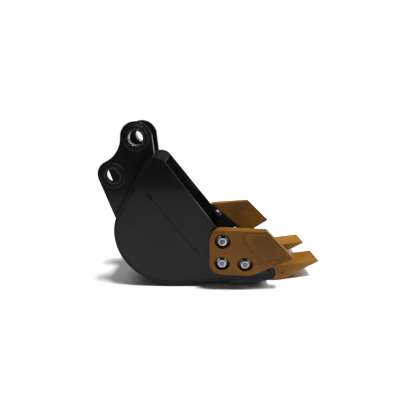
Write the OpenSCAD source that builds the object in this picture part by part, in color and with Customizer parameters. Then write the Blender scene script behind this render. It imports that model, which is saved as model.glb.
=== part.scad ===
// Narrow trenching bucket for a compact excavator: welded shell, two hanger ears,
// two bolt-on side cutters and two teeth on weld-on adapters.
// +X points forward to the teeth, +Y to the left, +Z up. The bucket stands on its heel
// and teeth. The origin is the centre of the stick pin bore, midway between the ears.

/* [Pins] */
// Diameter of both pin bores
pin_d = 40; // [33:1:44]
// Distance between the two pin bores
pin_spacing = 130; // [120:1:150]
// Angle of the line of pins below the horizontal
pin_line_angle = 51; // [45:1:56]

/* [Ears] */
// Clear gap between the two ears
ear_gap = 88; // [72:1:90]
// Thickness of each ear plate
ear_t = 16; // [12:1:18]
// Radius of each rounded ear lobe
ear_lobe_r = 44; // [40:1:48]
// Radius of the hollow between the two lobes
ear_hollow_r = 82; // [60:1:110]
// Lean of the ear's back edge from the vertical
ear_back_angle = 12; // [9:1:14]
// Outer radius of the boss rings
boss_r = 34; // [30:1:38]
// Height of the stick boss rings above the ear
stick_boss_t = 8; // [4:1:12]
// Height of the link boss rings above the ear
link_boss_t = 4; // [2:1:8]
// Wall of the pin bushes
bush_wall = 5; // [3:0.5:6]

/* [Shell] */
// Outer radius of the rolled heel
heel_r = 166; // [150:1:175]
// Heel centre, forward of the stick pin
heel_x = 52; // [46:1:60]
// Heel centre, below the stick pin
heel_drop = 305; // [290:1:325]
// Slope of the straight back
back_angle = 55; // [52:1:58]
// Length of the straight back
back_len = 170; // [160:1:180]
// Radius of the rounded top
top_r = 38; // [30:1:44]
// Steepness of the upper mouth edge
mouth_angle = 57; // [54:1:60]
// Length of the upper mouth edge
mouth_len = 232; // [210:1:250]
// Slope of the belly towards the teeth
belly_angle = 5.3; // [4:0.1:7]
// Width over the side plates at the heel
heel_w = 120; // [116:1:150]
// Width over the side plates at the lip
lip_w = 262; // [240:1:330]
// Thickness of the wrapper plate
wrapper_t = 10; // [6:1:12]
// Thickness of the side plates
side_t = 10; // [8:1:12]
// Thickness of the belly wear plate
wear_t = 10; // [6:1:12]
// Angle that the wear plate wraps up the heel, behind its lowest point
wear_wrap = 32; // [20:1:45]
// Distance that the wear plate is set in from each side
wear_inset = 6; // [3:1:12]

/* [Cutting edge] */
// Reach of the cutting edge along the belly from the lowest point of the heel
lip_reach = 304; // [296:1:320]
// Length of the cutting edge, back to front
lip_len = 136; // [100:1:150]
// Thickness of the cutting edge
lip_t = 16; // [12:1:20]
// Length of the bevel under the front of the cutting edge
lip_bevel = 55; // [30:1:70]
// Rise of the bevel at the front
lip_bevel_rise = 6; // [3:1:10]

/* [Side cutters] */
// Thickness of a side cutter
cutter_t = 22; // [20:1:30]
// Distance between the two lower bolts
bolt_run = 70; // [64:1:80]
// Height of the upper bolt above the lower ones
bolt_rise = 74; // [64:1:80]
// Margin from the bolt centres to the cutter's rear and lower edges
cutter_margin = 38; // [34:1:42]
// Height of the cutter above its lower bolts
cutter_top = 113; // [108:1:125]
// Reach of the cutter's top edge ahead of its rear bolts
cutter_top_reach = 127; // [115:1:135]
// Reach of the cutter's point ahead of its rear bolts
cutter_reach = 210; // [190:1:225]
// Height of the cutter's point above its lower bolts
cutter_tip_rise = 29; // [20:1:45]
// Diameter of the recesses for the nuts
recess_d = 48; // [42:1:52]
// Height of the raised pad on the outer face
pad_t = 2.5; // [1:0.5:3]
// Distance of the rear bolts along the side plate from the back of the heel
cutter_u = 336; // [330:1:345]
// Depth of the lower bolts below the stick pin
cutter_drop = 382; // [374:1:388]
// Nose-down tilt of the cutter
cutter_tilt = 3.7; // [0:0.1:6]

/* [Cutter bolts] */
// Thread diameter of the cutter bolts
bolt_d = 16; // [12:1:16]
// Diameter of the bolt heads
bolt_head_d = 32; // [26:1:36]
// Height of the bolt heads
bolt_head_h = 9.6; // [8:0.1:11]
// Width of the nuts across their flats
nut_af = 24; // [22:1:27]
// Height of the nuts
nut_h = 13; // [10:1:14]
// Diameter of the washers
washer_d = 30; // [28:1:34]
// Thickness of the washers
washer_t = 3; // [2:0.5:4]

/* [Teeth] */
// Width of a tooth
tooth_w = 66; // [56:1:72]
// Distance between the centres of the two teeth
tooth_spacing = 130; // [118:1:140]
// Length of a tooth ahead of the cutting edge
tooth_len = 161; // [134:1:194]
// Height of the tooth's top above the belly line, at its rear
tooth_top = 25; // [22:0.5:28]
// Depth of the tooth's underside below the belly line
tooth_bottom = 32; // [28:0.5:34]
// Height of the tooth's point above the belly line
tooth_tip_rise = 18.5; // [12:0.5:21]
// Thickness of the tooth's point
tooth_tip_t = 4.5; // [3:0.5:8]
// Width of the adapter's nose inside the tooth
nose_w = 46; // [40:1:48]
// Diameter of the pin that holds a tooth on
tooth_pin_d = 12; // [10:0.5:14]

/* [Hidden] */
$fn = 96;

paint_black = [0.11, 0.11, 0.12];
boss_black = [0.14, 0.14, 0.15];
ochre = [0.62, 0.38, 0.14];
adapter_blue = [0.12, 0.14, 0.22];
zinc = [0.75, 0.76, 0.78];
steel = [0.62, 0.62, 0.63];
rubber_black = [0.05, 0.05, 0.05];

// Clearances
bolt_hole_gap = 0.75;
nut_set_in = 1;
nose_gap = 0.5;
shoulder_gap = 0.5;
pin_hole_gap = 0.2;
cut_over = 1;

// Pins and ears
pin_r = pin_d / 2;
bush_r = pin_r + bush_wall;
ear_y = ear_gap / 2;
boss_y = ear_y + ear_t;
link_pin = [-pin_spacing * cos(pin_line_angle), -pin_spacing * sin(pin_line_angle)];
hollow_out = sqrt(pow(ear_lobe_r + ear_hollow_r, 2) - pow(pin_spacing / 2, 2));
hollow_centre = link_pin / 2 + hollow_out * [-sin(pin_line_angle), cos(pin_line_angle)];
ear_back_start = link_pin - ear_lobe_r * [cos(ear_back_angle), sin(ear_back_angle)];
ear_back_dir = [sin(ear_back_angle), -cos(ear_back_angle)];

// Shell profile, as points [x, z]
heel = [heel_x, -heel_drop];
back_out = [-sin(back_angle), cos(back_angle)];
back_dir = [cos(back_angle), sin(back_angle)];
top_centre = heel + (heel_r - top_r) * back_out + back_len * back_dir;
mouth_out = [sin(mouth_angle), cos(mouth_angle)];
mouth_dir = [cos(mouth_angle), -sin(mouth_angle)];
mouth_top = top_centre + top_r * mouth_out;
mouth_kink = mouth_top + mouth_len * mouth_dir;
belly_dir = [cos(belly_angle), sin(belly_angle)];
belly_down = [sin(belly_angle), -cos(belly_angle)];
belly_r = heel_r + wear_t;
lip_setback = 4;

// Taper of the side plates in plan
back_x = heel_x - heel_r;
lip_x = heel_x + lip_reach * cos(belly_angle) + belly_r * sin(belly_angle);
taper = atan((lip_w - heel_w) / 2 / (lip_x - back_x));

// Cutter stack, measured outwards from the side plate's outer face
recess_r = recess_d / 2;
recess_floor = cutter_t - nut_h - washer_t - nut_set_in;
washer_top = recess_floor + washer_t;
bolt_end = cutter_t;
bolt_hole_r = bolt_d / 2 + bolt_hole_gap;
bolt_places = [[0, 0], [0, bolt_rise], [bolt_run, 0]];

// Tooth and adapter, measured from the front of the cutting edge and the belly line
tooth_y = tooth_spacing / 2;
shoulder_r = 32;
shoulder_back = 13;
stack_top = wear_t + wrapper_t;
stack_bottom = wear_t - lip_t;
tooth_pin_place = [42, -3];
tooth_pin_len = tooth_w - 4;
lock_len = 9;

// Point at a reach along the belly and a height above the belly line
function belly_point(reach, height) = heel + (belly_r - height) * belly_down + reach * belly_dir;

// Half of the width over the side plates at a station x
function half_width(x) = heel_w / 2 + (x - back_x) * tan(taper);

// Corner rounding: the arc of radius r that joins a-b to b-c, as points
function unit(v) = v / norm(v);
function corner_arc(a, b, c, r) =
    let (half = acos(unit(a - b) * unit(c - b)) / 2)
    let (centre = b + unit(unit(a - b) + unit(c - b)) * r / sin(half))
    let (from = b + unit(a - b) * r / tan(half) - centre)
    let (sweep = 180 - 2 * half, steps = max(2, round(sweep * sqrt(r) / 30)))
    [for (i = [0 : steps])
        centre + from * cos(sweep * i / steps) + [-from[1], from[0]] * sin(sweep * i / steps)];

// An anticlockwise outline with radius radii[i] at points[i]
module rounded_outline(points, radii) {
    n = len(points);
    polygon([
        for (i = [0 : n - 1])
            for (p = corner_arc(points[(i + n - 1) % n], points[i], points[(i + 1) % n], radii[i])) p
    ]);
}

// Stands a flat outline [x, z] up and gives it the width y0 to y1
module across(y0, y1) {
    translate([0, y1, 0])
        rotate([90, 0, 0])
            linear_extrude(y1 - y0)
                children();
}

// A cylinder along Y from y0 to y1 at [x, z]
module pin_along_y(place, r, y0, y1) {
    translate([place[0], y1, place[1]])
        rotate([90, 0, 0])
            cylinder(r = r, h = y1 - y0);
}

// Region inside the shell at depth t below its outer face, bounded by the mouth's edges;
// front_points carry it on from the foot of the mouth
module shell_outline(t, front_points = []) {
    r = heel_r - t;
    far = 2 * heel_r;
    intersection() {
        translate(heel)
            circle(r = r);
        polygon([
            heel,
            heel + far * back_out,
            heel + far * [-1, -1],
            heel + far * belly_down
        ]);
    }
    translate(top_centre)
        circle(r = top_r - t);
    polygon(concat(
        [heel - r / 2 * unit(back_dir + belly_dir), heel + r * belly_down],
        front_points,
        [belly_point(lip_reach - lip_setback, stack_top), mouth_kink, mouth_top],
        [top_centre, top_centre + (top_r - t) * back_out, heel + r * back_out]
    ));
}

// Plan wedge between the side plates' outer faces, moved inwards by inset
module between_sides(inset) {
    x0 = back_x - ear_lobe_r;
    x1 = lip_x + ear_lobe_r;
    y0 = half_width(x0) - inset / cos(taper);
    y1 = half_width(x1) - inset / cos(taper);
    translate([0, 0, heel[1] - 2 * heel_r])
        linear_extrude(4 * heel_r)
            polygon([[x0, -y0], [x1, -y1], [x1, y1], [x0, y0]]);
}

// Frame of the left side plate's outer face: X forward along the plate, Y outwards
module on_side_plate() {
    translate([back_x, heel_w / 2, 0])
        rotate([0, 0, taper])
            children();
}

// Frame of the left cutter: origin at its lower rear bolt, on the side plate's face
module on_cutter() {
    on_side_plate()
        translate([cutter_u, 0, -cutter_drop])
            rotate([0, cutter_tilt, 0])
                children();
}

// Frame of the belly: X forward along the belly, Z up from the belly line
module on_belly() {
    translate([heel[0], 0, heel[1]])
        rotate([0, -belly_angle, 0])
            translate([0, 0, -belly_r])
                children();
}

// Frame of the left tooth: X = 0 at the front of the cutting edge
module on_tooth() {
    on_belly()
        translate([lip_reach, tooth_y, 0])
            children();
}

module wrapper() {
    color(paint_black)
        intersection() {
            across(-lip_w, lip_w)
                difference() {
                    shell_outline(0, [
                        belly_point(lip_reach, wear_t),
                        belly_point(lip_reach, stack_top)
                    ]);
                    shell_outline(wrapper_t);
                }
            between_sides(0);
        }
}

module side_plate() {
    color(paint_black)
        difference() {
            intersection() {
                across(heel_w / 2 - 2 * side_t, lip_w)
                    shell_outline(wrapper_t);
                between_sides(0);
            }
            between_sides(side_t);
            on_cutter()
                for (p = bolt_places)
                    pin_along_y(p, bolt_hole_r, -side_t - cut_over, cut_over);
        }
}

module belly_wear_plate() {
    far = 2 * heel_r;
    wear_end = lip_reach - lip_len;
    color(paint_black)
        intersection() {
            across(-lip_w, lip_w) {
                intersection() {
                    difference() {
                        translate(heel)
                            circle(r = belly_r);
                        translate(heel)
                            circle(r = heel_r);
                    }
                    polygon([
                        heel,
                        heel + far * [-sin(wear_wrap), -cos(wear_wrap)],
                        heel + far * belly_down
                    ]);
                }
                polygon([
                    belly_point(0, wear_t),
                    belly_point(0, 0),
                    belly_point(wear_end, 0),
                    belly_point(wear_end, wear_t)
                ]);
            }
            between_sides(wear_inset);
        }
}

module cutting_edge() {
    color(paint_black)
        intersection() {
            on_belly()
                across(-lip_w, lip_w)
                    polygon([
                        [lip_reach - lip_len, wear_t],
                        [lip_reach - lip_len, stack_bottom],
                        [lip_reach - lip_bevel, stack_bottom],
                        [lip_reach, stack_bottom + lip_bevel_rise],
                        [lip_reach, wear_t]
                    ]);
            between_sides(0);
        }
}

module ear_outline() {
    difference() {
        union() {
            circle(r = ear_lobe_r);
            translate(link_pin)
                circle(r = ear_lobe_r);
            polygon([
                link_pin,
                ear_back_start,
                ear_back_start + ear_back_dir * (heel_drop - ear_lobe_r) / 2,
                heel,
                top_centre,
                [ear_lobe_r, 0],
                [0, 0]
            ]);
            difference() {
                polygon([hollow_centre, link_pin, [0, 0]]);
                translate(hollow_centre)
                    circle(r = ear_hollow_r);
            }
            translate([0, top_centre[1]])
                square([ear_lobe_r, -top_centre[1]]);
        }
        shell_outline(0);
        circle(r = bush_r);
        translate(link_pin)
            circle(r = bush_r);
    }
}

module ear() {
    color(paint_black)
        across(ear_y, boss_y)
            ear_outline();
}

module boss_ring(place, height) {
    color(boss_black)
        difference() {
            pin_along_y(place, boss_r, boss_y, boss_y + height);
            pin_along_y(place, bush_r, boss_y - cut_over, boss_y + height + cut_over);
        }
}

module pin_bush(place, boss_height) {
    color(steel)
        difference() {
            pin_along_y(place, bush_r, ear_y, boss_y + boss_height);
            pin_along_y(place, pin_r, ear_y - cut_over, boss_y + boss_height + cut_over);
        }
}

module cutter_outline() {
    slope_start = [bolt_run + cutter_margin / 2, -cutter_margin];
    rounded_outline(
        [
            [-cutter_margin, -cutter_margin],
            slope_start,
            [cutter_reach, cutter_tip_rise],
            [cutter_top_reach, cutter_top],
            [-cutter_margin, cutter_top]
        ],
        [cutter_margin - 1, cutter_margin, 5, 5, cutter_margin - 1]
    );
}

module pad_outline() {
    pad_edge = 9;
    pad_back = bolt_run - 8;
    pad_foot = [bolt_run + 45, 19];
    rounded_outline(
        [
            [pad_back, cutter_top - pad_edge],
            [pad_back, cutter_top - 3 * pad_edge],
            pad_foot,
            [cutter_reach - pad_edge - 3, cutter_tip_rise + 7],
            [cutter_top_reach - 2, cutter_top - pad_edge]
        ],
        [6, 6, 10, 5, 6]
    );
}

module side_cutter() {
    color(ochre)
        on_cutter()
            difference() {
                union() {
                    across(0, cutter_t)
                        cutter_outline();
                    across(cutter_t, cutter_t + pad_t)
                        pad_outline();
                }
                for (p = bolt_places) {
                    pin_along_y(p, bolt_hole_r, -cut_over, cutter_t);
                    pin_along_y(p, recess_r, recess_floor, cutter_t + pad_t + cut_over);
                }
            }
}

module cutter_bolts() {
    head_r = bolt_head_d / 2;
    dome_r = (head_r * head_r + bolt_head_h * bolt_head_h) / (2 * bolt_head_h);
    socket_af = 10;
    socket_depth = 5;
    color(zinc)
        on_cutter()
            for (p = bolt_places)
                translate([p[0], 0, p[1]]) {
                    pin_along_y([0, 0], bolt_d / 2, -side_t, bolt_end);
                    difference() {
                        intersection() {
                            translate([0, dome_r - side_t - bolt_head_h, 0])
                                sphere(r = dome_r);
                            pin_along_y([0, 0], head_r, -side_t - bolt_head_h, -side_t);
                        }
                        translate([0, socket_depth - side_t - bolt_head_h, 0])
                            rotate([90, 0, 0])
                                cylinder(d = socket_af / cos(30), h = 2 * socket_depth, $fn = 6);
                    }
                }
}

module cutter_washers() {
    color(zinc)
        on_cutter()
            for (p = bolt_places)
                difference() {
                    pin_along_y(p, washer_d / 2, recess_floor, washer_top);
                    pin_along_y(p, bolt_hole_r, recess_floor - cut_over, washer_top + cut_over);
                }
}

module cutter_nuts() {
    nut_r = nut_af / 2 / cos(30);
    chamfer = 1.4;
    color(zinc)
        on_cutter()
            for (p = bolt_places)
                translate([p[0], washer_top + nut_h, p[1]])
                    rotate([90, 0, 0])
                        difference() {
                            intersection() {
                                cylinder(r = nut_r, h = nut_h, $fn = 6);
                                rotate_extrude()
                                    polygon([
                                        [0, 0], [nut_r - chamfer, 0], [nut_r, chamfer],
                                        [nut_r, nut_h - chamfer], [nut_r - chamfer, nut_h], [0, nut_h]
                                    ]);
                            }
                            translate([0, 0, -cut_over])
                                cylinder(r = bolt_d / 2, h = nut_h + 2 * cut_over);
                        }
}

// Side profile of the adapter's nose, grown by gap above and below; its front end seats
module nose_outline(gap) {
    solid_tip = 62;
    under_wall = 8;
    flat_run = 20;
    front_low = tooth_tip_rise - 18;
    front_high = tooth_tip_rise - 4;
    polygon([
        [0, under_wall - tooth_bottom - gap],
        [flat_run, under_wall + 2 - tooth_bottom - gap],
        [tooth_len - solid_tip, front_low - gap],
        [tooth_len - solid_tip, front_high + gap],
        [0, stack_top - 1 + gap]
    ]);
}

module tooth() {
    half_w = tooth_w / 2;
    nose_half = nose_w / 2 + nose_gap;
    heel_start = shoulder_r + 3;
    color(ochre)
        on_tooth()
            difference() {
                across(-half_w, half_w)
                    difference() {
                        polygon([
                            [-shoulder_back, tooth_top + 1],
                            [tooth_len, tooth_tip_rise],
                            [tooth_len, tooth_tip_rise - tooth_tip_t],
                            [heel_start, -tooth_bottom],
                            [-shoulder_back, 7 - tooth_bottom]
                        ]);
                        translate([-shoulder_back, 0])
                            circle(r = shoulder_r);
                    }
                across(-nose_half, nose_half)
                    nose_outline(nose_gap);
                pin_along_y(tooth_pin_place, tooth_pin_d / 2 + pin_hole_gap, -tooth_w, tooth_w);
            }
}

module tooth_adapter() {
    top_leg = 95;
    bottom_leg = 70;
    leg_t = 10;
    shoulder_w = tooth_w - 6;
    rear_w = 40;
    nose_half = nose_w / 2;
    pin_r_fit = tooth_pin_d / 2 + pin_hole_gap;
    slot_len = pin_r_fit + lock_len;
    color(adapter_blue)
        on_tooth()
            difference() {
                union() {
                    intersection() {
                        across(-tooth_w / 2, tooth_w / 2)
                            difference() {
                                union() {
                                    intersection() {
                                        translate([-shoulder_back, 0])
                                            circle(r = shoulder_r - shoulder_gap);
                                        translate([-shoulder_r, 6 - tooth_bottom])
                                            square([3 * shoulder_r, tooth_top - 6 + tooth_bottom]);
                                    }
                                    polygon([
                                        [-top_leg, stack_top],
                                        [-top_leg, stack_top + leg_t / 2],
                                        [-shoulder_r, stack_top + leg_t],
                                        [0, tooth_top],
                                        [0, stack_top]
                                    ]);
                                    polygon([
                                        [-bottom_leg, stack_bottom],
                                        [-bottom_leg, stack_bottom - leg_t / 2],
                                        [-shoulder_back, 6 - tooth_bottom],
                                        [0, 6 - tooth_bottom],
                                        [0, stack_bottom]
                                    ]);
                                }
                                polygon([
                                    [-2 * top_leg, stack_top],
                                    [-2 * top_leg, stack_bottom],
                                    [-lip_bevel, stack_bottom],
                                    [0, stack_bottom + lip_bevel_rise],
                                    [0, stack_top]
                                ]);
                            }
                        translate([0, 0, -2 * tooth_bottom])
                            linear_extrude(4 * tooth_bottom)
                                polygon([
                                    [-top_leg, -rear_w / 2],
                                    [-shoulder_r, -shoulder_w / 2],
                                    [tooth_len, -shoulder_w / 2],
                                    [tooth_len, shoulder_w / 2],
                                    [-shoulder_r, shoulder_w / 2],
                                    [-top_leg, rear_w / 2]
                                ]);
                    }
                    across(-nose_half, nose_half)
                        nose_outline(0);
                }
                pin_along_y(tooth_pin_place, pin_r_fit, -tooth_w, tooth_w);
                translate([tooth_pin_place[0] - slot_len, -nose_w, tooth_pin_place[1] - pin_r_fit])
                    cube([slot_len, 2 * nose_w, 2 * pin_r_fit]);
            }
}

module tooth_pin() {
    half = tooth_pin_len / 2;
    color(zinc)
        on_tooth()
            pin_along_y(tooth_pin_place, tooth_pin_d / 2, -half, half);
}

// Rubber block that presses the pin forward inside the adapter's nose
module tooth_lock() {
    height = tooth_pin_d;
    front = tooth_pin_place[0];
    back = front - tooth_pin_d / 2 - pin_hole_gap - lock_len;
    half = nose_w / 2;
    color(rubber_black)
        on_tooth()
            difference() {
                translate([back, -half, tooth_pin_place[1] - height / 2])
                    cube([front - back, nose_w, height]);
                pin_along_y(tooth_pin_place, tooth_pin_d / 2, -nose_w, nose_w);
            }
}

// The right side is the left side mirrored
module right() {
    mirror([0, 1, 0])
        children();
}

wrapper();
side_plate();  // side_plate_left
right() side_plate();  // side_plate_right
belly_wear_plate();
cutting_edge();
ear();  // ear_left
right() ear();  // ear_right
boss_ring([0, 0], stick_boss_t);  // stick_boss_left
right() boss_ring([0, 0], stick_boss_t);  // stick_boss_right
boss_ring(link_pin, link_boss_t);  // link_boss_left
right() boss_ring(link_pin, link_boss_t);  // link_boss_right
pin_bush([0, 0], stick_boss_t);  // stick_bush_left
right() pin_bush([0, 0], stick_boss_t);  // stick_bush_right
pin_bush(link_pin, link_boss_t);  // link_bush_left
right() pin_bush(link_pin, link_boss_t);  // link_bush_right
side_cutter();  // side_cutter_left
right() side_cutter();  // side_cutter_right
cutter_bolts();  // cutter_bolts_left
right() cutter_bolts();  // cutter_bolts_right
cutter_washers();  // cutter_washers_left
right() cutter_washers();  // cutter_washers_right
cutter_nuts();  // cutter_nuts_left
right() cutter_nuts();  // cutter_nuts_right
tooth_adapter();  // tooth_adapter_left
right() tooth_adapter();  // tooth_adapter_right
tooth();  // tooth_left
right() tooth();  // tooth_right
tooth_pin();  // tooth_pin_left
right() tooth_pin();  // tooth_pin_right
tooth_lock();  // tooth_lock_left
right() tooth_lock();  // tooth_lock_right
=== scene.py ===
"""Narrow trenching bucket: looks, light and camera. Lengths are in metres unless a name says mm."""

import math
import random

import bmesh
import bpy
from mathutils import Matrix, Vector


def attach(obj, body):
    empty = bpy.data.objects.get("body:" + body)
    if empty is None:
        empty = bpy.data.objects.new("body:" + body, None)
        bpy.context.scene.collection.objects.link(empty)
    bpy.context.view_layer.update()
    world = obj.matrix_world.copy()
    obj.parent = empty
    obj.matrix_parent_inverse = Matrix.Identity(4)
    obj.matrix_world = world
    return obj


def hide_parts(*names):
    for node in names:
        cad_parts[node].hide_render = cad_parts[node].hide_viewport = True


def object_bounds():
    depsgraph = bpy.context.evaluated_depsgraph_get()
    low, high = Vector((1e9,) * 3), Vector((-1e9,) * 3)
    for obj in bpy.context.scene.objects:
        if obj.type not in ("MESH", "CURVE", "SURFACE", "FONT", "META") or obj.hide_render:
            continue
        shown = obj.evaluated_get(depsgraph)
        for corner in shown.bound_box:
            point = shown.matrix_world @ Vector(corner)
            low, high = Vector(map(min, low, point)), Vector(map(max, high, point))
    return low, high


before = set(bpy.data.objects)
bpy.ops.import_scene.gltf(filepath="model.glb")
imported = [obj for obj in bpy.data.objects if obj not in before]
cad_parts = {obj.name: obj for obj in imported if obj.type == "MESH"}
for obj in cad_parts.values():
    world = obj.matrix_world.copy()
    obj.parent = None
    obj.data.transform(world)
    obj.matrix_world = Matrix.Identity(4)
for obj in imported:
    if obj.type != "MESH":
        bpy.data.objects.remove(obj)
cad_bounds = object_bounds()
MM = 0.001

# ---------------------------------------------------------------- shell geometry, as in the CAD
PIN_SPACING = 130 * MM
PIN_LINE = math.radians(51)
EAR_IN, EAR_OUT = 44 * MM, 60 * MM
EAR_LOBE = 44 * MM
BOSS_R = 34 * MM
HEEL = Vector((52, -305)) * MM
HEEL_R = 166 * MM
BACK = math.radians(55)
BACK_LEN = 170 * MM
TOP_R = 38 * MM
MOUTH = math.radians(57)
BELLY = math.radians(5.3)
WALL = 10 * MM
WEAR = 10 * MM
LIP_REACH = 304 * MM
LIP_LEN = 136 * MM
HEEL_HALF, LIP_HALF = 60 * MM, 131 * MM
BELLY_R = HEEL_R + WEAR

back_out = Vector((-math.sin(BACK), math.cos(BACK)))
back_dir = Vector((math.cos(BACK), math.sin(BACK)))
belly_dir = Vector((math.cos(BELLY), math.sin(BELLY)))
belly_down = Vector((math.sin(BELLY), -math.cos(BELLY)))
TOP = HEEL + (HEEL_R - TOP_R) * back_out + BACK_LEN * back_dir
LINK = -PIN_SPACING * Vector((math.cos(PIN_LINE), math.sin(PIN_LINE)))
back_x = HEEL.x - HEEL_R
lip_x = HEEL.x + LIP_REACH * math.cos(BELLY) + BELLY_R * math.sin(BELLY)
TAPER = math.atan((LIP_HALF - HEEL_HALF) / (lip_x - back_x))


def half_width(x):
    return HEEL_HALF + (x - back_x) * math.tan(TAPER)


def belly_point(reach, height):
    return HEEL + (BELLY_R - height) * belly_down + reach * belly_dir


# ---------------------------------------------------------------- materials
PEEL_DEPTH = 0.4 * MM
CAST_DEPTH = 0.9 * MM
WAVE_DEPTH = 1.2 * MM
MARK_DEPTH = 0.2 * MM
RUBBER_DEPTH = 0.3 * MM
# Reach of the occlusion test for the painted shade in corners and recesses
CORNER_SHADE_REACH = 7 * MM


def new_material(name):
    m = bpy.data.materials.new(name)
    m.use_nodes = True
    t = m.node_tree
    t.nodes.clear()
    out = t.nodes.new("ShaderNodeOutputMaterial")
    bsdf = t.nodes.new("ShaderNodeBsdfPrincipled")
    t.links.new(bsdf.outputs["BSDF"], out.inputs["Surface"])
    return m, t, bsdf


def noise_node(t, coords, scale, detail=4.0, rough=0.55):
    n = t.nodes.new("ShaderNodeTexNoise")
    n.inputs["Scale"].default_value = scale
    n.inputs["Detail"].default_value = detail
    n.inputs["Roughness"].default_value = rough
    t.links.new(coords, n.inputs["Vector"])
    return n.outputs["Fac"]


def remap(t, value, low, high, to_low, to_high):
    r = t.nodes.new("ShaderNodeMapRange")
    r.inputs["From Min"].default_value = low
    r.inputs["From Max"].default_value = high
    r.inputs["To Min"].default_value = to_low
    r.inputs["To Max"].default_value = to_high
    t.links.new(value, r.inputs["Value"])
    return r.outputs["Result"]


def mix(t, fac, a, b):
    x = t.nodes.new("ShaderNodeMix")
    x.data_type = "RGBA"
    t.links.new(fac, x.inputs["Factor"])
    for socket, v in ((x.inputs[6], a), (x.inputs[7], b)):
        if isinstance(v, tuple):
            socket.default_value = (*v, 1)
        else:
            t.links.new(v, socket)
    return x.outputs[2]


def bump(t, height, strength, distance, normal=None):
    b = t.nodes.new("ShaderNodeBump")
    b.inputs["Strength"].default_value = strength
    b.inputs["Distance"].default_value = distance
    t.links.new(height, b.inputs["Height"])
    if normal is not None:
        t.links.new(normal, b.inputs["Normal"])
    return b.outputs["Normal"]


def object_coords(t):
    return t.nodes.new("ShaderNodeTexCoord").outputs["Object"]


def edge_wear_and_highlight(t, amount):
    """1 on convex edges, 0 on flats and in corners."""
    g = t.nodes.new("ShaderNodeNewGeometry")
    flat = 0.5
    return remap(t, g.outputs["Pointiness"], flat + amount, flat + amount + 0.05, 0.0, 1.0)


def add_corner_shade_and_grime(t, coords, tone, shade_and_grime):
    """Painted shade in corners and recesses, where ambient occlusion darkens the tone, and dirt in specks
    all over.
    """
    near = t.nodes.new("ShaderNodeAmbientOcclusion")
    near.inputs["Distance"].default_value = CORNER_SHADE_REACH
    near.samples = 8
    # Painted shade: the tone darkens towards the shade colour where nearby surfaces occlude
    corner = remap(t, near.outputs["AO"], 0.62, 0.97, 0.92, 0)
    specks = remap(t, noise_node(t, coords, 330, 4, 0.7), 0.55, 0.67, 0, 0.7)
    return mix(t, specks, mix(t, corner, tone, shade_and_grime), shade_and_grime)


# The wear argument sets how sharp an edge must be to take the lighter tone; on the satin black that tone
# is a painted highlight
def paint(name, tones, rough, worn_and_highlight, wear, peel=0.12, cast=0.0, coat=0.1, shine=0.13, shade_and_grime=None):
    """Sprayed paint: tone drifts over the part, orange peel, optional painted shade in corners with dirt
    specks, and lighter convex edges, which are rubbed paint on the ochre parts and a painted highlight on
    the satin black.
    """
    m, t, b = new_material(name)
    base, dark, light = tones
    c = object_coords(t)
    broad = noise_node(t, c, 9, 3)
    fine = noise_node(t, c, 160, 5)
    tone = mix(t, remap(t, broad, 0.35, 0.68, 0, 1), dark, light)
    tone = mix(t, remap(t, fine, 0.35, 0.75, 0, 0.35), tone, base)
    speck = noise_node(t, c, 420, 2)
    # Convex edges take a lighter tone: rubbed paint on the ochre parts, and a painted highlight along the
    # edges of the satin black
    rub = t.nodes.new("ShaderNodeMath")
    rub.operation = "MULTIPLY"
    t.links.new(edge_wear_and_highlight(t, wear), rub.inputs[0])
    t.links.new(remap(t, speck, 0.42, 0.6, 0.15, 1), rub.inputs[1])
    tone = mix(t, rub.outputs[0], tone, worn_and_highlight)
    if shade_and_grime:
        tone = add_corner_shade_and_grime(t, c, tone, shade_and_grime)
    t.links.new(tone, b.inputs["Base Color"])
    t.links.new(remap(t, noise_node(t, c, 26, 5), 0.3, 0.7, *rough), b.inputs["Roughness"])
    b.inputs["Specular IOR Level"].default_value = shine
    b.inputs["Coat Weight"].default_value = coat
    b.inputs["Coat Roughness"].default_value = 0.14
    n = bump(t, noise_node(t, c, 700, 2), peel, PEEL_DEPTH)
    if cast:
        n = bump(t, noise_node(t, c, 130, 6, 0.7), cast, CAST_DEPTH, n)
    n = bump(t, broad, 0.25, WAVE_DEPTH, n)
    t.links.new(n, b.inputs["Normal"])
    return m


def metal(name, light, dark, rough, stretch=(1, 1, 1), scratch=0.2):
    """Machined or plated steel, with fine turning marks and stains."""
    m, t, b = new_material(name)
    c = object_coords(t)
    mp = t.nodes.new("ShaderNodeMapping")
    mp.inputs["Scale"].default_value = stretch
    t.links.new(c, mp.inputs["Vector"])
    marks = noise_node(t, mp.outputs["Vector"], 120, 4)
    stains = noise_node(t, c, 60, 5)
    tone = mix(t, remap(t, stains, 0.38, 0.66, 0, 1), light, dark)
    t.links.new(tone, b.inputs["Base Color"])
    b.inputs["Metallic"].default_value = 1.0
    t.links.new(remap(t, marks, 0.3, 0.7, *rough), b.inputs["Roughness"])
    t.links.new(bump(t, marks, scratch, MARK_DEPTH), b.inputs["Normal"])
    return m


def rubber(name, tone, worn_and_highlight):
    m, t, b = new_material(name)
    c = object_coords(t)
    patches = remap(t, noise_node(t, c, 90, 4), 0.4, 0.7, 0, 1)
    t.links.new(mix(t, patches, tone, worn_and_highlight), b.inputs["Base Color"])
    t.links.new(remap(t, noise_node(t, c, 200, 3), 0.3, 0.7, 0.6, 0.85), b.inputs["Roughness"])
    t.links.new(bump(t, noise_node(t, c, 500, 3), 0.3, RUBBER_DEPTH), b.inputs["Normal"])
    return m


# Tones are (base, dark, light)
BLACK = ((0.0062, 0.0062, 0.0073), (0.0040, 0.0040, 0.0048), (0.0088, 0.0088, 0.0102))
OCHRE = ((0.180, 0.070, 0.0080), (0.125, 0.047, 0.005), (0.235, 0.098, 0.012))
TOOTH_OCHRE = ((0.215, 0.088, 0.011), (0.160, 0.062, 0.007), (0.285, 0.124, 0.016))
BLUE_BLACK = ((0.0080, 0.0100, 0.0240), (0.0050, 0.0065, 0.0150), (0.0130, 0.0160, 0.0360))


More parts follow.
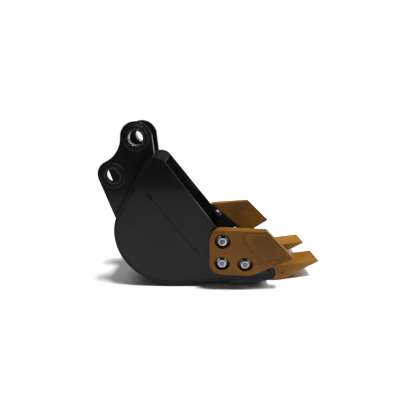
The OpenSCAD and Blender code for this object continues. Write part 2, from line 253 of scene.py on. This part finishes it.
def bush_finish(name, light, dark):
    """Turned steel in the bore, sprayed over on the end faces."""
    m = metal(name, light, dark, (0.24, 0.42), (0.4, 6, 0.4), 0.35)
    t = m.node_tree
    b = next(n for n in t.nodes if n.type == "BSDF_PRINCIPLED")
    g = t.nodes.new("ShaderNodeNewGeometry")
    split = t.nodes.new("ShaderNodeSeparateXYZ")
    t.links.new(g.outputs["True Normal"], split.inputs[0])
    size = t.nodes.new("ShaderNodeMath")
    size.operation = "ABSOLUTE"
    t.links.new(split.outputs["Y"], size.inputs[0])
    face = remap(t, size.outputs[0], 0.55, 0.75, 0, 1)
    tone = b.inputs["Base Color"].links[0].from_socket
    t.links.new(mix(t, face, tone, BLACK[0]), b.inputs["Base Color"])
    t.links.new(remap(t, face, 0, 1, 1, 0), b.inputs["Metallic"])
    return m


FLAT_BLACK = ((0.0040, 0.0040, 0.0046), (0.0028, 0.0028, 0.0032), (0.0055, 0.0055, 0.0062))
BLUE_TINT = ((0.0062, 0.0072, 0.0130), (0.0040, 0.0048, 0.0085), (0.0090, 0.0105, 0.0190))
# Colour of the painted shade in corners and recesses, and of the dirt specks
SHADE_AND_GRIME = (0.040, 0.017, 0.005)
NO_EDGE_TONE = {"worn_and_highlight": BLACK[2], "wear": 0.5}

MATERIALS = {
    # The light grey on its convex edges is a painted highlight
    "paint_black": paint(
        "satin_black", BLACK, (0.26, 0.42), (0.17, 0.17, 0.175), 0.03, coat=0.20, shine=0.07,
    ),
    "weld_black": paint("painted_weld", BLACK, (0.28, 0.46), **NO_EDGE_TONE, peel=0.3, coat=0.12, shine=0.07),
    "flat_black": paint("flat_black", FLAT_BLACK, (0.40, 0.60), **NO_EDGE_TONE, peel=0.3, coat=0.03, shine=0.04),
    "edge_blue": paint(
        "blue_tint", BLUE_TINT, (0.28, 0.46), **NO_EDGE_TONE, peel=0.15, cast=0.3, coat=0.15, shine=0.07,
    ),
    "paint_blue_black": paint(
        "blue_black_primer", BLUE_BLACK, (0.34, 0.50), (0.06, 0.065, 0.08), 0.04, peel=0.15, cast=0.5,
    ),
    # The ochre paints get painted shade in their corners and recesses, besides dirt specks
    "paint_ochre": paint(
        "ochre_paint", OCHRE, (0.38, 0.56), (0.42, 0.21, 0.05), 0.03,
        peel=0.2, cast=0.8, coat=0.05, shine=0.08, shade_and_grime=SHADE_AND_GRIME,
    ),
    "tooth_ochre": paint(
        "tooth_ochre", TOOTH_OCHRE, (0.38, 0.56), (0.52, 0.29, 0.085), 0.03,
        peel=0.2, cast=0.8, coat=0.05, shine=0.08, shade_and_grime=SHADE_AND_GRIME,
    ),
    "pin_paint": paint(
        "overspray", TOOTH_OCHRE, (0.4, 0.6), (0.25, 0.13, 0.05), 0.05,
        peel=0.2, cast=0.4, coat=0.05, shine=0.08,
    ),
    "zinc_steel": metal("bright_zinc", (0.46, 0.48, 0.51), (0.16, 0.17, 0.19), (0.14, 0.34)),
    "dark_steel": metal("dark_bolt_steel", (0.13, 0.135, 0.15), (0.05, 0.05, 0.06), (0.20, 0.40)),
    "bush_steel": bush_finish("bush_steel", (0.74, 0.74, 0.72), (0.56, 0.55, 0.52)),
    "dull_bush_steel": bush_finish("dull_bush_steel", (0.055, 0.055, 0.06), (0.03, 0.03, 0.03)),
    "lock_rubber": rubber("lock_rubber", (0.012, 0.012, 0.012), (0.03, 0.03, 0.028)),
}


# ---------------------------------------------------------------- building helpers
def add_piece(name, mesh, look):
    o = bpy.data.objects.new(name, mesh)
    bpy.context.scene.collection.objects.link(o)
    mesh.materials.clear()
    mesh.materials.append(MATERIALS[look])
    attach(o, "root")
    return o


def smooth_by_angle(mesh, degrees):
    for f in mesh.polygons:
        f.use_smooth = True
    mesh.set_sharp_from_angle(angle=math.radians(degrees))


def finished(node, look, width, segments):
    """The CAD node's own shape with its sharp edges broken, as on a real plate or casting."""
    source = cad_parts[node]
    bm = bmesh.new()
    bm.from_mesh(source.data)
    bm.transform(source.matrix_world)
    bmesh.ops.remove_doubles(bm, verts=bm.verts, dist=2e-6)
    bmesh.ops.dissolve_limit(bm, angle_limit=math.radians(0.6), verts=bm.verts, edges=bm.edges)
    bmesh.ops.recalc_face_normals(bm, faces=bm.faces)
    mesh = bpy.data.meshes.new(node + "_mesh")
    bm.to_mesh(mesh)
    bm.free()
    smooth_by_angle(mesh, 30)
    o = add_piece(node + "_finished", mesh, look)
    mod = o.modifiers.new("edges", "BEVEL")
    mod.width = width
    mod.segments = segments
    mod.limit_method = "ANGLE"
    mod.angle_limit = math.radians(28)
    mod.use_clamp_overlap = True
    mod.miter_outer = "MITER_SHARP"
    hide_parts(node)
    return o


def resample(points, step, closed):
    """Evenly spaced points along a polyline."""
    pts = list(points) + ([points[0]] if closed else [])
    dist = [0.0]
    for a, b in zip(pts, pts[1:]):
        dist.append(dist[-1] + (b - a).length)
    count = max(3, round(dist[-1] / step))
    out, k = [], 0
    for i in range(count if closed else count + 1):
        d = dist[-1] * i / count
        while k < len(pts) - 2 and dist[k + 1] < d:
            k += 1
        span = dist[k + 1] - dist[k]
        out.append(pts[k].lerp(pts[k + 1], (d - dist[k]) / span if span else 0))
    return out


def weld_mesh(name, runs, seed):
    """Ripple weld beads. Each run is (points, radius, closed)."""
    rnd = random.Random(seed)
    bm = bmesh.new()
    sides = 10
    for points, radius, closed in runs:
        step = radius * 0.42
        pts = resample(points, step, closed)
        n = len(pts)
        rings = []
        phase = rnd.random() * 6
        for i, p in enumerate(pts):
            a = pts[(i - 1) % n] if closed or i else pts[0]
            b = pts[(i + 1) % n] if closed or i < n - 1 else pts[-1]
            along = (b - a).normalized()
            side = along.cross(Vector((0, 0, 1)))
            if side.length < 0.2:
                side = along.cross(Vector((0, 1, 0)))
            side.normalize()
            up = side.cross(along)
            wave = 0.5 + 0.5 * math.sin(i * 2.1 + phase)
            r = radius * (0.90 + 0.16 * wave + rnd.uniform(-0.03, 0.03))
            if not closed:
                end = min(i, n - 1 - i)
                r *= math.sqrt(min(1.0, (end + 0.35) / 3))
            rings.append([
                bm.verts.new(p + r * (math.cos(q) * side + math.sin(q) * up))
                for q in (2 * math.pi * k / sides for k in range(sides))
            ])
        pairs = list(zip(rings, rings[1:])) + ([(rings[-1], rings[0])] if closed else [])
        for r0, r1 in pairs:
            for k in range(sides):
                bm.faces.new((r0[k], r0[(k + 1) % sides], r1[(k + 1) % sides], r1[k]))
        if not closed:
            bm.faces.new(rings[0][::-1])
            bm.faces.new(rings[-1])
    bmesh.ops.recalc_face_normals(bm, faces=bm.faces)
    mesh = bpy.data.meshes.new(name + "_mesh")
    bm.to_mesh(mesh)
    bm.free()
    smooth_by_angle(mesh, 60)
    return mesh


def at(profile, y):
    return Vector((profile.x, y, profile.y))


def arc(centre, r, a0, a1, steps=24):
    return [centre + r * Vector((math.cos(a), math.sin(a)))
            for a in (a0 + (a1 - a0) * i / steps for i in range(steps + 1))]


def both_sides(points):
    """The run and its mirror image."""
    return [points, [Vector((p.x, -p.y, p.z)) for p in points]]


# ---------------------------------------------------------------- CAD pieces with broken edges
# Look, width of the broken edges in millimetres, and their segments, of each piece or pair
EDGES = {
    "wrapper": ("weld_black", 0.8, 2),
    "side_plate": ("paint_black", 1.6, 3),
    "belly_wear_plate": ("weld_black", 1.2, 2),
    "cutting_edge": ("edge_blue", 1.2, 2),
    "ear": ("paint_black", 1.2, 3),
    "stick_boss": ("paint_black", 1.5, 3),
    "link_boss": ("paint_black", 1.5, 3),
    "stick_bush": ("bush_steel", 0.8, 2),
    "link_bush": ("dull_bush_steel", 0.8, 2),
    "side_cutter": ("paint_ochre", 1.6, 4),
    "cutter_bolts": ("dark_steel", 0.5, 2),
    "cutter_washers": ("zinc_steel", 0.4, 2),
    "cutter_nuts": ("zinc_steel", 0.3, 2),
    "tooth_adapter": ("paint_blue_black", 1.2, 3),
    "tooth": ("tooth_ochre", 2.0, 4),
    "tooth_pin": ("pin_paint", 0.8, 2),
    "tooth_lock": ("lock_rubber", 0.8, 2),
}
for piece, (look, width_mm, segments) in EDGES.items():
    nodes = [piece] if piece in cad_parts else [piece + "_left", piece + "_right"]
    for node in nodes:
        finished(node, look, width_mm * MM, segments)

# ---------------------------------------------------------------- weld beads
HALF_PI = math.pi / 2
UP_BACK = HALF_PI + BACK
DOWN = 1.5 * math.pi
EAR_FOOT = Vector((-97, -232)) * MM
CREASE = (Vector((11, -159)) * MM, Vector((147.5, -362)) * MM)
SEAM_LEN = 92 * MM
WEAR_WRAP = math.radians(32)
WEAR_INSET = 6.5 * MM
END_INSET = 8 * MM
SUNK = 0.5 * MM
TOOTH_Y = 65 * MM
STACK_TOP = 20 * MM
LEG_REAR, LEG_FRONT = 95 * MM, 32 * MM
LEG_REAR_HALF, LEG_FRONT_HALF = 20 * MM, 30 * MM


def open_runs(lines, radius):
    """Runs for the lines and their mirror images."""
    return [(run, radius, False) for line in lines for run in both_sides(line)]


def add_weld(name, runs, seed, look="weld_black"):
    add_piece(name, weld_mesh(name, runs, seed), look)


# Round the four boss rings
boss_runs = []
for centre in (Vector((0, 0)), LINK):
    ring = arc(centre, BOSS_R + 1 * MM, 0, 2 * math.pi, 72)[:-1]
    for run in both_sides([at(p, EAR_OUT + SUNK) for p in ring]):
        boss_runs.append((run, 3.6 * MM, True))
add_weld("weld_bosses", boss_runs, 3)

# Along both faces and the front end of each ear, where it stands on the wrapper
profile = arc(HEEL, HEEL_R, math.atan2(EAR_FOOT.y - HEEL.y, EAR_FOOT.x - HEEL.x), UP_BACK, 12)
profile += arc(TOP, TOP_R, UP_BACK, HALF_PI + 0.03, 16)
front = [Vector((EAR_LOBE, y, TOP.y + TOP_R - 1 * MM)) for y in (EAR_IN - 1 * MM, EAR_OUT + 1 * MM)]
ear_runs = open_runs([[at(p, y) for p in profile] for y in (EAR_OUT, EAR_IN)], 4.2 * MM)
ear_runs += open_runs([front], 5.0 * MM)
add_weld("weld_ears", ear_runs, 5)

# In the corners between the wrapper and the side plates
inner = arc(TOP, TOP_R - WALL, HALF_PI - MOUTH, UP_BACK, 16)
inner += arc(HEEL, HEEL_R - WALL, UP_BACK, DOWN + BELLY, 40)
inner.append(belly_point(LIP_REACH - 12 * MM, WEAR + WALL))
corner_line = [at(p, half_width(p.x) - WALL / math.cos(TAPER)) for p in inner]
add_weld("weld_inside", open_runs([corner_line], 4.0 * MM), 7)

# On the side plates: the crease, the seam at the back, and a tack at the end of each
seam_top = HEEL + (HEEL_R - WALL) * back_out + SEAM_LEN * back_dir
seam = arc(HEEL, HEEL_R - WALL, UP_BACK + 0.12, UP_BACK, 6) + [seam_top]
crease_tack = (CREASE[0], CREASE[0].lerp(CREASE[1], 0.09))
seam_tack = (seam_top - 18 * MM * back_dir, seam_top)
PLATE_BEADS = {
    "plate_crease": ("weld_black", ((CREASE, 1.6 * MM),)),
    "plate_seam": ("weld_black", ((seam, 1.5 * MM),)),
    "plate_tacks": ("flat_black", ((crease_tack, 3.6 * MM), (seam_tack, 5.0 * MM))),
}
for name, (look, beads) in PLATE_BEADS.items():
    plate_runs = []
    for points, radius in beads:
        plate_runs += open_runs([[at(p, half_width(p.x)) for p in points]], radius)
    add_weld(name, plate_runs, 9, look)

# Round the wear plate
under = arc(HEEL, HEEL_R + SUNK, DOWN - WEAR_WRAP, DOWN + BELLY, 24)
under.append(belly_point(LIP_REACH - LIP_LEN - 4 * MM, WEAR - SUNK))
under_runs = open_runs([[at(p, half_width(p.x) - WEAR_INSET) for p in under]], 3.4 * MM)
for end, radius in ((under[0], 3.6 * MM), (belly_point(LIP_REACH - LIP_LEN, 0), 3.2 * MM)):
    half = half_width(end.x) - END_INSET
    under_runs.append(([at(end, -half), at(end, half)], radius, False))
add_weld("weld_wear_plate", under_runs, 11)

# Round the upper leg of each tooth adapter
leg_rear = belly_point(LIP_REACH - LEG_REAR, STACK_TOP)
leg_front = belly_point(LIP_REACH - LEG_FRONT, STACK_TOP)
adapter_lines = [
    [at(leg_rear, TOOTH_Y - LEG_REAR_HALF), at(leg_front, TOOTH_Y - LEG_FRONT_HALF)],
    [at(leg_rear, TOOTH_Y + LEG_REAR_HALF), at(leg_front, TOOTH_Y + LEG_FRONT_HALF)],
    [at(leg_rear, TOOTH_Y - LEG_REAR_HALF), at(leg_rear, TOOTH_Y + LEG_REAR_HALF)],
]
add_weld("weld_adapters", open_runs(adapter_lines, 3.2 * MM), 13)

# ---------------------------------------------------------------- floor, light and camera
FLOOR_TONE = (0.93, 0.93, 0.93)
FLOOR_FAR, FLOOR_NEAR = 12, -1.15
MIDDLE = (0.15, 0, -0.25)


def matte(name, tone, rough):
    m, t, b = new_material(name)
    shade = tuple(0.98 * v for v in tone)
    t.links.new(mix(t, noise_node(t, object_coords(t), 3, 4), tone, shade), b.inputs["Base Color"])
    b.inputs["Roughness"].default_value = rough
    b.inputs["Specular IOR Level"].default_value = 0.1
    return m


def add_floor(level):
    corners = [
        (-FLOOR_FAR, FLOOR_NEAR, level), (FLOOR_FAR, FLOOR_NEAR, level),
        (FLOOR_FAR, FLOOR_FAR, level), (-FLOOR_FAR, FLOOR_FAR, level),
    ]
    mesh = bpy.data.meshes.new("floor_mesh")
    mesh.from_pydata(corners, [], [(0, 1, 2, 3)])
    mesh.materials.append(matte("pale_floor", FLOOR_TONE, 0.9))
    floor = bpy.data.objects.new("floor", mesh)
    bpy.context.scene.collection.objects.link(floor)


def softbox(name, place, target, size, power):
    data = bpy.data.lights.new(name, "AREA")
    data.shape = "RECTANGLE"
    data.size, data.size_y = size
    data.energy = power
    o = bpy.data.objects.new(name, data)
    bpy.context.scene.collection.objects.link(o)
    o.location = place
    o.rotation_euler = (Vector(target) - Vector(place)).to_track_quat("-Z", "Y").to_euler()


def soft_sun(name, towards, strength, angle):
    data = bpy.data.lights.new(name, "SUN")
    data.energy = strength
    data.angle = angle
    o = bpy.data.objects.new(name, data)
    bpy.context.scene.collection.objects.link(o)
    o.rotation_euler = Vector(towards).to_track_quat("Z", "Y").to_euler()


add_floor(cad_bounds[0][2])
softbox("top_soft", (-0.3, 0.5, 1.9), MIDDLE, (1.4, 1.4), 14)
softbox("edge_right", (1.6, -0.2, 1.0), MIDDLE, (0.5, 1.1), 14)
soft_sun("sun", (0.32, -0.16, 1.0), 3.7, math.radians(9))

# The backdrop is white to the camera and dim as a light
BACKDROP_LIGHT, BACKDROP_SEEN = 0.08, 1.02
world = bpy.data.worlds.new("studio")
world.use_nodes = True
wt = world.node_tree
backdrop = wt.nodes["Background"]
backdrop.inputs["Color"].default_value = (1, 1, 1, 1)
path = wt.nodes.new("ShaderNodeLightPath")
seen = remap(wt, path.outputs["Is Camera Ray"], 0, 1, BACKDROP_LIGHT, BACKDROP_SEEN)
wt.links.new(seen, backdrop.inputs["Strength"])
bpy.context.scene.world = world
bpy.context.scene.view_settings.view_transform = "Standard"

camera_data = bpy.data.cameras.new("camera")
camera_data.sensor_width = 36
camera_data.lens = 23.28
camera_data.clip_end = 100
camera = bpy.data.objects.new("camera", camera_data)
bpy.context.scene.collection.objects.link(camera)
place = Matrix.Translation((0.16407, -0.839, 0.05979))
right = Vector((0.99655, -0.05239, -0.06444))
up = Vector((0.07843, 0.33875, 0.93760))
turn = Matrix((right, up, right.cross(up))).transposed().to_4x4()
camera.matrix_world = place @ turn
bpy.context.scene.camera = camera
